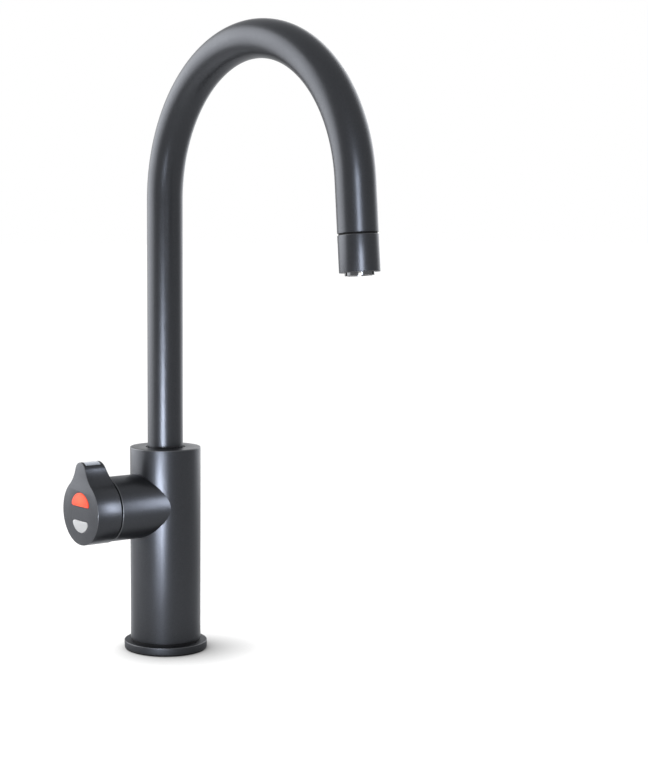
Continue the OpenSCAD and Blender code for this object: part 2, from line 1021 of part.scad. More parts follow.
module flow_straightener() {
    color(pale_plastic)
    at_drop(mouth_z - straight_t)
    difference() {
        cylinder(r = outlet_r - outlet_wall, h = straight_t);
        translate([0, 0, -over])
        cylinder(r = boil_r + slip / 2, h = straight_t + 2 * over);
        for (k = [0:straight_holes - 1])
        rotate([0, 0, 360 * k / straight_holes])
        translate([(boil_r + outlet_r - outlet_wall) / 2, 0, -over])
        cylinder(r = straight_hole_r, h = straight_t + 2 * over, $fn = hole_sides);
    }
}

// Control arm -------------------------------------------------------------

module arm_housing() {
    color(gunmetal)
    difference() {
        along_arm()
        rotate_extrude()
        polygon([
            [arm_in, 0],
            [arm_r, 0],
            [arm_r, arm_reach - arm_edge],
            [arm_r - arm_edge, arm_reach],
            [arm_seat, arm_reach],
            [arm_seat, bearing_in],
            [arm_in, bearing_in]
        ]);
        translate([0, 0, arm_z - arm_d])
        cylinder(r = body_r, h = 2 * arm_d);
    }
}

module bearing_plate() {
    color(brass_tone)
    along_arm(bearing_in)
    difference() {
        ring(arm_seat - slip / 4, spindle_r + run_fit, bearing_t);
        translate([-stop_ring, 0, bearing_t - stop_sink])
        cylinder(r = stop_r, h = stop_sink + over);
        translate([coil_d / 2, 0, -over])
        cylinder(r = wire_d / 2 + slip, h = spring_tail + 2 * over);
    }
}

module glide_ring() {
    color(black_plastic)
    along_arm(bearing_out)
    ring(arm_seat - slip / 4, glide_in, ledge + knob_gap - glide_gap);
}

module stop_pin() {
    color(steel_tone)
    along_arm(bearing_out - stop_sink)
    translate([-stop_ring, 0, 0])
    cylinder(r = stop_r, h = stop_sink + ledge + knob_gap + hub_t - slip);
}

module return_spring() {
    color(steel_tone)
    along_arm()
    tube_along(spring_points, wire_d / 2, spring_sides, [1, 0, 0]);
}

module sensor_board() {
    color(board_green)
    along_arm(board_s)
    difference() {
        union() {
            cylinder(r = board_r, h = board_t);
            for (side = [-1, 1])
            translate([-chip_size / 2, side * chip_ring - chip_size / 2, board_t])
            cube([chip_size, chip_size, chip_t]);
        }
        translate([0, 0, -over])
        cylinder(r = lead_r + slip, h = board_t + 2 * over);
        for (side = [-1, 1])
        translate([0, side * board_screw_ring, -over])
        cylinder(r = board_screw_r + slip / 4, h = board_t + 2 * over);
    }
}

module sensor_carrier() {
    color(black_plastic)
    along_arm(carrier_s)
    difference() {
        ring(arm_in - slip / 4, arm_in - carrier_wall, carrier_t);
        for (side = [-1, 1])
        translate([0, side * board_screw_ring, -over])
        cylinder(r = board_screw_r + slip / 4, h = carrier_t + 2 * over);
    }
}

module sensor_board_screws() {
    head_h = 0.8;
    color(steel_tone)
    along_arm(board_s - head_h)
    for (side = [-1, 1])
    translate([0, side * board_screw_ring, 0])
    small_screw(board_screw_head, head_h, board_screw_r, head_h + board_t + carrier_t - slip);
}

// Knob --------------------------------------------------------------------

module knob_shell() {
    color(gunmetal)
    along_arm()
    difference() {
        knob_solid();
        translate([0, 0, cavity_face - over])
        linear_extrude(knob_wall + 2 * over) {
            hot_outline(button_gap);
            safety_outline(button_gap);
        }
        translate([0, 0, strip_mid - strip_len / 2])
        tip_slab(over, lever_h - strip_t, strip_w, strip_len);
        translate([cavity_r / 2, -guide_w / 2 - slip, pcb_face + led_t])
        cube([lever_h - cavity_r / 2 - strip_t + over, guide_w + 2 * slip, guide_t + 2 * slip]);
    }
}

// Teardrop block with its slanted lever back, round cavity, screw bosses and board posts
module knob_solid() {
    difference() {
        translate([0, 0, knob_back])
        linear_extrude(knob_depth)
        teardrop();
        translate([0, 0, knob_back - over])
        cylinder(r = cavity_r, h = cavity_face - knob_back + over);
        rotate([90, 0, 0])
        linear_extrude(2 * knob_r, center = true)
        polygon([
            [back_root, knob_back - over],
            [back_root, knob_back],
            [lever_h, knob_back + lever_back],
            [lever_h + over, knob_back + lever_back],
            [lever_h + over, knob_back - over]
        ]);
    }
    for (angle = knob_screw_angles)
    rotate([0, 0, angle])
    translate([knob_screw_ring, 0, knob_back + hub_t])
    difference() {
        intersection() {
            cylinder(r = boss_r, h = cavity_face - knob_back - hub_t + over / 2);
            translate([-knob_screw_ring, 0, 0])
            cylinder(r = cavity_r + over / 2, h = knob_depth);
        }
        translate([0, 0, -over])
        cylinder(r = knob_screw_r, h = boss_hole + over);
    }
    for (side = [-1, 1])
    translate([0, side * post_y, pcb_face])
    difference() {
        cylinder(r = post_r, h = cavity_face - pcb_face + over / 2);
        translate([0, 0, -over])
        cylinder(r = post_hole, h = post_depth + over);
    }
}

module knob_spindle() {
    color(brass_tone)
    along_arm()
    difference() {
        union() {
            translate([0, 0, driver_in])
            cylinder(r = spindle_r, h = knob_back - driver_in);
            translate([0, 0, knob_back])
            cylinder(r = cavity_r - slip / 2, h = hub_t);
        }
        translate([0, 0, driver_in - over])
        cylinder(r = spindle_bore, h = knob_back + hub_t - driver_in + 2 * over);
        translate([0, 0, bearing_in - clip_side - spindle_clip_t])
        ring(spindle_r + over, spindle_clip_in, spindle_clip_t);
        stop_slot();
        for (angle = knob_screw_angles)
        rotate([0, 0, angle])
        translate([knob_screw_ring, 0, knob_back - over]) {
            cylinder(r = knob_screw_r + slip / 4, h = hub_t + 2 * over);
            cylinder(r = knob_screw_head + slip / 4, h = over + hub_t / 2);
        }
    }
}

// Curved slot in the knob's hub that the stop pin runs in
module stop_slot() {
    room = stop_r + slip;
    arc = 2 * (turn_max + asin(room / stop_ring));
    translate([0, 0, knob_back - over])
    rotate([0, 0, 180 - arc / 2])
    rotate_extrude(angle = arc)
    translate([stop_ring - room, 0])
    square([2 * room, hub_t + 2 * over]);
}

module spindle_clip() {
    color(steel_tone)
    along_arm(bearing_in - clip_side - spindle_clip_t + slip / 2)
    open_clip(spindle_clip_r, spindle_clip_in + slip / 4, spindle_clip_t - slip, clip_angle);
}

module spindle_driver() {
    color(brass_tone)
    along_arm(driver_in)
    difference() {
        ring(driver_r, spindle_r, driver_t);
        rotate([0, 0, spring_start])
        translate([coil_d / 2, 0, -over])
        cylinder(r = wire_d / 2 + slip, h = driver_t + 2 * over);
    }
}

module sensor_magnet() {
    color(steel_tone)
    along_arm(magnet_s)
    ring(magnet_r, spindle_bore, magnet_t);
}

module knob_screws() {
    color(steel_tone)
    along_arm(knob_back + slip)
    for (angle = knob_screw_angles)
    rotate([0, 0, angle])
    translate([knob_screw_ring, 0, 0])
    small_screw(knob_screw_head, hub_t / 2 - slip, knob_screw_r - slip / 4, hub_t + boss_hole - 2 * slip);
}

module knob_lead() {
    color(black_plastic)
    along_arm(board_s + slip)
    cylinder(r = lead_r, h = pcb_back - board_s - slip);
}

module button_board() {
    color(board_green)
    along_arm(pcb_back)
    difference() {
        cylinder(r = cavity_r - slip, h = pcb_t);
        for (angle = knob_screw_angles)
        rotate([0, 0, angle])
        translate([knob_screw_ring, 0, -over])
        cylinder(r = boss_r + slip, h = pcb_t + 2 * over);
        for (side = [-1, 1])
        translate([0, side * post_y, -over])
        cylinder(r = post_hole + slip / 4, h = pcb_t + 2 * over);
    }
}

module button_board_screws() {
    head_h = 1;
    color(steel_tone)
    along_arm(pcb_back - head_h)
    for (side = [-1, 1])
    translate([0, side * post_y, 0])
    small_screw(board_screw_head, head_h, post_hole - slip / 4, head_h + pcb_t + post_depth - slip);
}

module button_switches() {
    color(black_plastic)
    along_arm(pcb_face)
    for (x = [hot_mid, safe_mid])
    translate([x, 0, 0])
    difference() {
        translate([-switch_w / 2, -switch_w / 2, 0])
        cube([switch_w, switch_w, switch_t]);
        translate([0, 0, switch_wall])
        cylinder(r = plunger_r + slip, h = switch_t);
    }
}

module button_leds() {
    color(pale_plastic)
    along_arm(pcb_face)
    for (x = [hot_mid, safe_mid], side = [-1, 1])
    translate([x - led_w / 2, side * led_y - led_w / 2, 0])
    cube([led_w, led_w, led_t]);
}

module tip_light_guide() {
    color(pale_plastic)
    along_arm(pcb_face + led_t + slip)
    translate([guide_x, -guide_w / 2, 0])
    cube([lever_h - strip_t - guide_gap - guide_x, guide_w, guide_t]);
}

module tip_strip() {
    color(black_plastic)
    along_arm(strip_mid - strip_len / 2 + slip / 2)
    difference() {
        tip_slab(0, lever_h - strip_t + slip / 2, strip_w - slip, strip_len - slip);
        translate([0, -window_w / 2, (strip_len - slip - window_len) / 2])
        cube([2 * lever_h, window_w, window_len]);
    }
}

module tip_window() {
    color(pale_plastic)
    along_arm(strip_mid - window_len / 2 + slip / 2)
    tip_slab(0, lever_h - strip_t + slip / 2, window_w - slip, window_len - slip);
}

// Buttons -----------------------------------------------------------------

// Lip, cap and stem of a button along the local Z axis
module button_body(x) {
    translate([0, 0, lip_face])
    linear_extrude(knob_face + button_proud - lip_face)
    children(0);
    translate([0, 0, lip_face - lip_t])
    linear_extrude(lip_t)
    children(1);
    translate([x, 0, stem_s])
    cylinder(r = stem_r, h = stem_len + lip_t / 2);
}

module plunger(x) {
    translate([x, 0, stem_s - plunger_len])
    cylinder(r = plunger_r, h = plunger_len);
}

module hot_button() {
    color(hot_red)
    along_arm()
    button_body(hot_mid) {
        hot_outline();
        hot_outline(lip);
    }
}

module hot_plunger() {
    color(pale_plastic)
    along_arm()
    plunger(hot_mid);
}

module safety_button() {
    color(silver_grey)
    along_arm()
    button_body(safe_mid) {
        safety_outline();
        safety_outline(lip);
    }
}

module safety_plunger() {
    color(pale_plastic)
    along_arm()
    plunger(safe_mid);
}

base_gasket();
base_plate();
body_seal();
body_shell();
body_foot();
body_grub_screw();
mount_shank();
swivel_manifold();
manifold_clip();
neck_bush();
thrust_washer();
gland_seal();
boiling_riser();
chilled_riser();
tail_block();
inlet_collets();
signal_socket();
signal_lead();
spout_stop_screw();
arm_housing();
bearing_plate();
glide_ring();
stop_pin();
return_spring();
sensor_board();
sensor_carrier();
sensor_board_screws();
spout_tube();
spout_spigot();
spigot_seals();
spout_boiling_tube();
tube_spacers();
nozzle_adapter();
nozzle_seal();
nozzle_collar();
outlet_ring();
flow_straightener();
knob_shell();
knob_spindle();
spindle_clip();
spindle_driver();
sensor_magnet();
knob_screws();
knob_lead();
button_board();
button_switches();
button_leds();
button_board_screws();
tip_strip();
tip_window();
tip_light_guide();
hot_button();
hot_plunger();
safety_button();
safety_plunger();
clamp_rubber_washer();
clamp_steel_washer();
clamp_nut();
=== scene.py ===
from math import atan2, cos, pi, radians, sin, sqrt, tan

import bmesh
import bpy
from mathutils import Matrix, Vector


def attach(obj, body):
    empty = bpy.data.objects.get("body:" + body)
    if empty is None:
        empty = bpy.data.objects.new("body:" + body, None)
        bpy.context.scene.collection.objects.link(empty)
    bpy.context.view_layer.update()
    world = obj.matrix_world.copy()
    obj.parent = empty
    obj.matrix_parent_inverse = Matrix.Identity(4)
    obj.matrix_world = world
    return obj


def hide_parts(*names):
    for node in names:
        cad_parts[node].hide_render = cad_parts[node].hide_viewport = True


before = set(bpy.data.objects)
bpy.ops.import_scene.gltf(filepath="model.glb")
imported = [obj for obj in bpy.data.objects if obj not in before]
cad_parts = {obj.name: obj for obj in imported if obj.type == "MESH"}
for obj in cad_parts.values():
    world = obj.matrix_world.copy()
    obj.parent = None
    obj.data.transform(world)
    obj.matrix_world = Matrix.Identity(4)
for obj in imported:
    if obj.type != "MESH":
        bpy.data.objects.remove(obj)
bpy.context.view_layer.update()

# A boiling water tap: round body, swivelling gooseneck spout and a turning control with two buttons.
# Sizes are in millimetres and are brought to metres as each piece is finished.

mm = 0.001
past = 1  # how far a cutter reaches beyond what it cuts
mergeDistance = 0.0005
scene = bpy.context.scene
scene.view_settings.view_transform = "Standard"

bodySizes = dict(radius=25.0, wall=2.5, foot=7.7, top=145.0, topWall=3.5, edge=0.7, hole=14.1)
armSizes = dict(height=104.5, radius=22.5, bore=18.5, seat=20.0, seatFrom=42.0, reach=50.2, edge=0.7)
knobSizes = dict(radius=23.0, back=51.4, depth=19.4, wall=2.2, tipHeight=34.5, tipRadius=6.6, waist=23.7,
                 backSink=1.5, backSlant=3.7, faceEdge=0.35, backEdge=0.5)
spoutSizes = dict(radius=12.5, wall=1.5, foot=138.5, rise=318.0, bend=101.0, sweep=175, drop=31.5)


def turnedAxes(degreesXYZ):
    x, y, z = (radians(a) for a in degreesXYZ)
    return Matrix.Rotation(z, 4, "Z") @ Matrix.Rotation(y, 4, "Y") @ Matrix.Rotation(x, 4, "X")


# local Z runs out along the control arm and local X points up
armPlace = Matrix.Translation((0, 0, armSizes["height"])) @ turnedAxes((0, -90, 0))
bendPlace = Matrix.Translation((0, -spoutSizes["bend"], spoutSizes["rise"])) @ turnedAxes((90, 0, 90))
# local Z follows the water out of the nozzle, from the end of the bend
dropPlace = (bendPlace @ turnedAxes((0, 0, spoutSizes["sweep"]))
             @ Matrix.Translation((spoutSizes["bend"], 0, 0)) @ turnedAxes((-90, 0, 0)))


# every finish starts from a new material with its own shader
def newMaterial(name):
    made = bpy.data.materials.new(name)
    made.use_nodes = True
    return made, made.node_tree.nodes, made.node_tree.links, made.node_tree.nodes["Principled BSDF"]


def noise(nodes, links, scale, detail=3.0, rough=0.55, stretch=None):
    place = nodes.new("ShaderNodeTexCoord")
    source = place.outputs["Object"]
    if stretch:
        turn = nodes.new("ShaderNodeMapping")
        turn.inputs["Scale"].default_value = stretch
        links.new(source, turn.inputs["Vector"])
        source = turn.outputs["Vector"]
    made = nodes.new("ShaderNodeTexNoise")
    made.inputs["Scale"].default_value = scale
    made.inputs["Detail"].default_value = detail
    made.inputs["Roughness"].default_value = rough
    links.new(source, made.inputs["Vector"])
    return made.outputs["Fac"]


def spread(nodes, links, source, low, high, fromLow=0.3, fromHigh=0.7):
    made = nodes.new("ShaderNodeMapRange")
    made.inputs["From Min"].default_value = fromLow
    made.inputs["From Max"].default_value = fromHigh
    made.inputs["To Min"].default_value = low
    made.inputs["To Max"].default_value = high
    links.new(source, made.inputs["Value"])
    return made.outputs["Result"]


def tinted(nodes, links, source, dark, light, fromLow=0.3, fromHigh=0.7):
    made = nodes.new("ShaderNodeValToRGB")
    made.color_ramp.elements[0].position = fromLow
    made.color_ramp.elements[0].color = (*dark, 1)
    made.color_ramp.elements[1].position = fromHigh
    made.color_ramp.elements[1].color = (*light, 1)
    links.new(source, made.inputs["Fac"])
    return made.outputs["Color"]


def bumped(nodes, links, shader, source, strength, depth, under=None):
    made = nodes.new("ShaderNodeBump")
    made.inputs["Strength"].default_value = strength
    made.inputs["Distance"].default_value = depth * mm
    links.new(source, made.inputs["Height"])
    if under:
        links.new(under, made.inputs["Normal"])
    links.new(made.outputs["Normal"], shader.inputs["Normal"])
    return made.outputs["Normal"]


rimTint = (0.78, 0.79, 0.81, 1)  # holds back the paint's shine where it is seen edge on


def paint(name, dark, light, metallic, rough, grain, grainDepth):
    made, nodes, links, shader = newMaterial(name)
    flakes = noise(nodes, links, scale=grain, detail=4.0, rough=0.6)
    clouds = noise(nodes, links, scale=38.0, detail=3.0, rough=0.5)
    links.new(tinted(nodes, links, flakes, dark, light), shader.inputs["Base Color"])
    links.new(spread(nodes, links, clouds, rough - 0.025, rough + 0.025), shader.inputs["Roughness"])
    shader.inputs["Metallic"].default_value = metallic
    shader.inputs["Specular Tint"].default_value = rimTint
    waves = noise(nodes, links, scale=grain * 0.3, detail=2.0, rough=0.5)
    soft = bumped(nodes, links, shader, waves, strength=0.25, depth=grainDepth * 2.5)
    bumped(nodes, links, shader, flakes, strength=0.35, depth=grainDepth, under=soft)
    return made


def metal(name, colour, rough, brushed, scale=900.0, depth=0.01):
    made, nodes, links, shader = newMaterial(name)
    lines = noise(nodes, links, scale, detail=3.0, rough=0.6, stretch=brushed)
    stains = noise(nodes, links, scale=60.0, detail=3.0, rough=0.6)
    dark = [c * 0.86 for c in colour]
    links.new(tinted(nodes, links, stains, dark, colour), shader.inputs["Base Color"])
    links.new(spread(nodes, links, lines, rough * 0.8, rough * 1.25), shader.inputs["Roughness"])
    shader.inputs["Metallic"].default_value = 1.0
    bumped(nodes, links, shader, lines, strength=0.3, depth=depth)
    return made


def plastic(name, colour, rough, grain=700.0, depth=0.02, coat=0.0, shine=0.5):
    made, nodes, links, shader = newMaterial(name)
    pores = noise(nodes, links, scale=grain, detail=3.0, rough=0.6)
    clouds = noise(nodes, links, scale=45.0, detail=2.0, rough=0.5)
    dark = [c * 0.82 for c in colour]
    links.new(tinted(nodes, links, clouds, dark, colour), shader.inputs["Base Color"])
    links.new(spread(nodes, links, pores, rough - 0.06, rough + 0.06), shader.inputs["Roughness"])
    shader.inputs["Coat Weight"].default_value = coat
    shader.inputs["Specular IOR Level"].default_value = shine
    bumped(nodes, links, shader, pores, strength=0.3, depth=depth)
    return made


gunmetal = paint("gunmetalPaint", dark=(0.028, 0.0295, 0.033), light=(0.043, 0.045, 0.050),
                 metallic=0.9, rough=0.34, grain=2200.0, grainDepth=0.028)
# a darker, rougher copy of the body paint for the base plate: its darker tone is painted shade
plateShadedPaint = paint("plateShadedPaint", dark=(0.023, 0.024, 0.0265), light=(0.035, 0.0365, 0.040),
                      metallic=0.9, rough=0.52, grain=2200.0, grainDepth=0.03)
# a lighter copy of the body paint for bevels and rims: a painted highlight along the edges
edgeHighlightPaint = paint("edgeHighlightPaint", dark=(0.058, 0.059, 0.063), light=(0.080, 0.082, 0.086),
                     metallic=0.9, rough=0.4, grain=2200.0, grainDepth=0.01)
blackRubber = plastic("blackRubber", (0.008, 0.008, 0.009), 0.75, grain=900.0, depth=0.03, shine=0.14)
blackPlastic = plastic("blackPlastic", (0.010, 0.010, 0.011), 0.5, shine=0.2)
brass = metal("turnedBrass", (0.78, 0.57, 0.26), 0.30, brushed=(1, 1, 6))
steel = metal("stainlessSteel", (0.60, 0.60, 0.61), 0.32, brushed=(1, 1, 8))
# chrome given a dark colour to stand in for the dark surroundings it reflects: a painted reflection
chromePaintedDarkReflection = metal("chromePaintedDarkReflection", (0.085, 0.087, 0.092), 0.16, brushed=None, scale=500.0, depth=0.002)
boardGreen = plastic("boardGreen", (0.035, 0.20, 0.075), 0.35, grain=500.0, depth=0.03, coat=0.3)
palePlastic = plastic("palePlastic", (0.72, 0.72, 0.70), 0.45)
safetySilver = paint("safetySilver", dark=(0.27, 0.275, 0.285), light=(0.33, 0.335, 0.345),
                     metallic=0.05, rough=0.42, grain=1800.0, grainDepth=0.01)


glowLook = dict(middle=(-71.2, 0.0, 113.2), reach=10.5, centre=(0.92, 0.105, 0.036), rim=(0.66, 0.034, 0.008),
                strength=0.95, skin=(0.35, 0.03, 0.012))


# lit from behind, so it glows more in its middle than at its rim
def glowingPlastic(name):
    s = glowLook
    made, nodes, links, shader = newMaterial(name)
    pores = noise(nodes, links, scale=800.0, detail=3.0, rough=0.6)
    place = nodes.new("ShaderNodeTexCoord")
    away = nodes.new("ShaderNodeVectorMath")
    away.operation = "DISTANCE"
    away.inputs[1].default_value = [c * mm for c in s["middle"]]
    links.new(place.outputs["Object"], away.inputs[0])
    fade = spread(nodes, links, away.outputs["Value"], 0, 1, fromLow=0, fromHigh=s["reach"] * mm)
    glow = tinted(nodes, links, fade, s["centre"], s["rim"], fromLow=0.15, fromHigh=1.0)
    links.new(glow, shader.inputs["Emission Color"])
    shader.inputs["Emission Strength"].default_value = s["strength"]
    shader.inputs["Base Color"].default_value = (*s["skin"], 1)
    shader.inputs["Specular IOR Level"].default_value = 0.15
    links.new(spread(nodes, links, pores, 0.42, 0.54), shader.inputs["Roughness"])
    bumped(nodes, links, shader, pores, strength=0.2, depth=0.01)
    return made


hotGlow = glowingPlastic("hotGlow")


def windowPlastic(name):
    made, nodes, links, shader = newMaterial(name)
    pores = noise(nodes, links, scale=300.0, detail=2.0, rough=0.5)
    tone = tinted(nodes, links, pores, (0.28, 0.31, 0.36), (0.35, 0.38, 0.43))
    links.new(tone, shader.inputs["Base Color"])
    shader.inputs["Roughness"].default_value = 0.22
    shader.inputs["Coat Weight"].default_value = 0.5
    bumped(nodes, links, shader, pores, strength=0.1, depth=0.01)
    return made


tipGlass = windowPlastic("tipGlass")
print("materials are made")


# makes a shaped bmesh a piece: in its place, in metres, with its finish and its body; faces that its mask
# picks get the lighter bevel paint, a painted highlight
def finished(bm, name, finish, body, *nodes, place=None, sharp=32, highlightOn=None):
    bmesh.ops.remove_doubles(bm, verts=bm.verts[:], dist=mergeDistance)
    bmesh.ops.recalc_face_normals(bm, faces=bm.faces[:])
    bm.normal_update()
    for face in bm.faces:
        face.material_index = 1 if highlightOn and highlightOn(face) else 0
    bm.transform(Matrix.Scale(mm, 4) @ (place or Matrix()))
    mesh = bpy.data.meshes.new(name)
    bm.to_mesh(mesh)
    bm.free()
    mesh.polygons.foreach_set("use_smooth", [True] * len(mesh.polygons))
    mesh.set_sharp_from_angle(angle=radians(sharp))
    mesh.materials.append(finish)
    if highlightOn:
        mesh.materials.append(edgeHighlightPaint)
    made = bpy.data.objects.new(name, mesh)
    scene.collection.objects.link(made)
    if nodes:
        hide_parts(*nodes)
    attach(made, body)
    return made


# the bevels of a turned piece, whose faces look neither along its axis nor straight away from it; they take
# the painted highlight
def onBevel(face):
    return 0.12 < abs(face.normal.z) < 0.97


def profile(points, rounds=()):
    bm = bmesh.new()
    corners = [bm.verts.new((r, 0, z)) for r, z in points]
    for start, end in zip(corners, corners[1:] + corners[:1]):
        bm.edges.new((start, end))
    for corner, size in rounds:
        bmesh.ops.bevel(bm, geom=[corners[corner]], offset=size, affect="VERTICES", segments=4,
                        profile=0.5, material=-1)
    return bm


def turned(points, rounds=(), steps=128):
    bm = profile(points, rounds)
    bmesh.ops.spin(bm, geom=bm.verts[:] + bm.edges[:], cent=(0, 0, 0), axis=(0, 0, 1), angle=2 * pi,
                   steps=steps, use_merge=True)
    bmesh.ops.remove_doubles(bm, verts=bm.verts[:], dist=mergeDistance)
    bmesh.ops.recalc_face_normals(bm, faces=bm.faces[:])
    return bm


def pointsOf(parts):
    return [p for p in parts if isinstance(p, bmesh.types.BMVert)]


def edgesOf(parts):
    return [p for p in parts if isinstance(p, bmesh.types.BMEdge)]


def swept(bm, start, centre, angle, steps):
    grown = bmesh.ops.spin(bm, geom=[start], cent=centre, axis=(0, 0, 1), angle=angle, steps=steps)
    return pointsOf(grown["geom_last"])[0]


def prism(bm, low, high):
    bmesh.ops.remove_doubles(bm, verts=bm.verts[:], dist=2 * mergeDistance)
    face = bmesh.ops.contextual_create(bm, geom=bm.edges[:])["faces"]
    bmesh.ops.translate(bm, verts=bm.verts[:], vec=(0, 0, low))
    raised = bmesh.ops.extrude_face_region(bm, geom=face, use_keep_orig=True)["geom"]
    bmesh.ops.translate(bm, verts=pointsOf(raised), vec=(0, 0, high - low))
    bmesh.ops.recalc_face_normals(bm, faces=bm.faces[:])
    return bm


def flatLoop(bm, height, within=0.01):
    return [e for e in bm.edges if all(abs(v.co.z - height) < within for v in e.verts)]


def combined(target, cutters):
    mesh = bpy.data.meshes.new("target")
    target.to_mesh(mesh)
    target.free()
    block = bpy.data.objects.new("target", mesh)
    scene.collection.objects.link(block)
    tools = []
    for way, cutter in cutters:
        toolMesh = bpy.data.meshes.new("tool")
        cutter.to_mesh(toolMesh)
        cutter.free()
        tool = bpy.data.objects.new("tool", toolMesh)
        scene.collection.objects.link(tool)
        step = block.modifiers.new("cut", "BOOLEAN")
        step.operation = way
        step.solver = "EXACT"
        step.object = tool
        tools.append(tool)
    bpy.context.view_layer.update()
    seen = block.evaluated_get(bpy.context.evaluated_depsgraph_get())
    bm = bmesh.new()
    bm.from_mesh(seen.to_mesh())
    seen.to_mesh_clear()
    for extra in tools + [block]:
        used = extra.data
        bpy.data.objects.remove(extra)
        bpy.data.meshes.remove(used)
    return bm


def rod(radius, low, high, steps=64, centre=(0, 0)):
    bm = bmesh.new()
    bmesh.ops.create_cone(bm, cap_ends=True, segments=steps, radius1=radius, radius2=radius, depth=high - low)
    bmesh.ops.translate(bm, verts=bm.verts[:], vec=(*centre, (low + high) / 2))
    return bm


def boxBlock(low, high):
    bm = bmesh.new()
    bmesh.ops.create_cube(bm, size=1)
    bmesh.ops.scale(bm, verts=bm.verts[:], vec=[end - start for start, end in zip(low, high)])
    bmesh.ops.translate(bm, verts=bm.verts[:], vec=[(end + start) / 2 for start, end in zip(low, high)])
    return bm


# base gasket, base plate and the dark seal under the body
baseSizes = dict(gasket=1.1, gasketRadius=28.7, gasketBore=17.2, radius=29.5, top=6.1, edge=0.4, bore=16.7,
                 sealRadius=24.3)


def makeBase():
    s = baseSizes
    gasket = turned([(s["gasketBore"], 0), (s["gasketRadius"], 0), (s["gasketRadius"], s["gasket"]),
                     (s["gasketBore"], s["gasket"])], [(1, 0.3), (2, 0.3)])
    finished(gasket, "baseGasket", blackRubber, "tap_body", "base_gasket")
    plate = turned([(s["bore"], s["gasket"]), (s["radius"], s["gasket"]), (s["radius"], s["top"]),
                    (s["bore"], s["top"])], [(1, 0.25), (2, s["edge"])])
    finished(plate, "basePlate", plateShadedPaint, "tap_body", "base_plate", highlightOn=onBevel)
    seal = turned([(s["bore"], s["top"]), (s["sealRadius"], s["top"]), (s["sealRadius"], bodySizes["foot"]),
                   (s["bore"], bodySizes["foot"])])
    finished(seal, "bodySeal", blackRubber, "tap_body", "body_seal")


makeBase()


# shank and clamp nut, under the worktop
shankSizes = dict(radius=16.5, bore=14.0, foot=-66.0, head=19.7, neckRadius=17.0, neckLow=-8.0, edge=0.8,
                  pitch=1.5, depth=0.75, threadFrom=-65.2, threadTo=-9.0, row=0.25)
nutSizes = dict(across=41.0, low=-45.0, high=-35.0, bore=16.6, crown=21.3, boreEdge=0.8)


# a helical thread is cut by moving each point of the wall inward by its place on the helix
def makeShank():
    s = shankSizes
    rows = round((s["threadTo"] - s["threadFrom"]) / s["row"])
    wall = [(s["radius"], s["threadFrom"] + s["row"] * k) for k in range(rows + 1)]
    shank = turned([(s["bore"], s["foot"]), (s["radius"] - s["edge"], s["foot"])] + wall
                   + [(s["radius"], s["neckLow"]), (s["neckRadius"], s["neckLow"]), (s["neckRadius"], 0),
                      (s["radius"], 0), (s["radius"], s["head"]), (s["bore"], s["head"])], steps=72)
    for point in shank.verts:
        x, y, z = point.co
        outside = x * x + y * y > (s["radius"] - 0.1) ** 2
        if outside and s["threadFrom"] < z < s["threadTo"]:
            turn = (z / s["pitch"] - atan2(y, x) / (2 * pi)) % 1
            ends = min(1, (z - s["threadFrom"]) / s["pitch"], (s["threadTo"] - z) / s["pitch"])
            deep = s["depth"] * ends * (1 - abs(2 * turn - 1))
            point.co.x -= x / s["radius"] * deep
            point.co.y -= y / s["radius"] * deep
    finished(shank, "mountShank", brass, "tap_body", "mount_shank", sharp=50)


# a six-sided nut whose corners are turned off at both ends
def makeNut():
    s = nutSizes
    corner = s["across"] / sqrt(3)
    hexBlock = bmesh.new()
    bmesh.ops.create_cone(hexBlock, cap_ends=True, segments=6, radius1=corner, radius2=corner,
                          depth=s["high"] - s["low"])
    bmesh.ops.translate(hexBlock, verts=hexBlock.verts[:], vec=(0, 0, (s["low"] + s["high"]) / 2))
    wide = corner + past
    drop = (wide - s["crown"]) / 2
    crown = turned([(0, s["low"]), (s["crown"], s["low"]), (wide, s["low"] + drop),
                    (wide, s["high"] - drop), (s["crown"], s["high"]), (0, s["high"])], steps=96)
    mouth = s["bore"] + s["boreEdge"] + past
    bore = turned([(0, s["low"] - past), (mouth, s["low"] - past), (s["bore"], s["low"] + s["boreEdge"]),
                   (s["bore"], s["high"] - s["boreEdge"]), (mouth, s["high"] + past),
                   (0, s["high"] + past)], steps=96)
    nut = combined(hexBlock, [("INTERSECT", crown), ("DIFFERENCE", bore)])
    finished(nut, "clampNut", brass, "clamp", "clamp_nut", sharp=25)


makeShank()
makeNut()


# body shell, and the bush where the spout enters it
screwHoles = dict(radius=2.0, heights=(13.7, 129.0))
bushSizes = dict(bore=12.58, radius=14.0, top=144.3)


# the bevelled rim of the body's top, which takes the painted highlight
def onBodyRim(face):
    return onBevel(face) and face.calc_center_median().z > bodySizes["top"] - bodySizes["edge"]


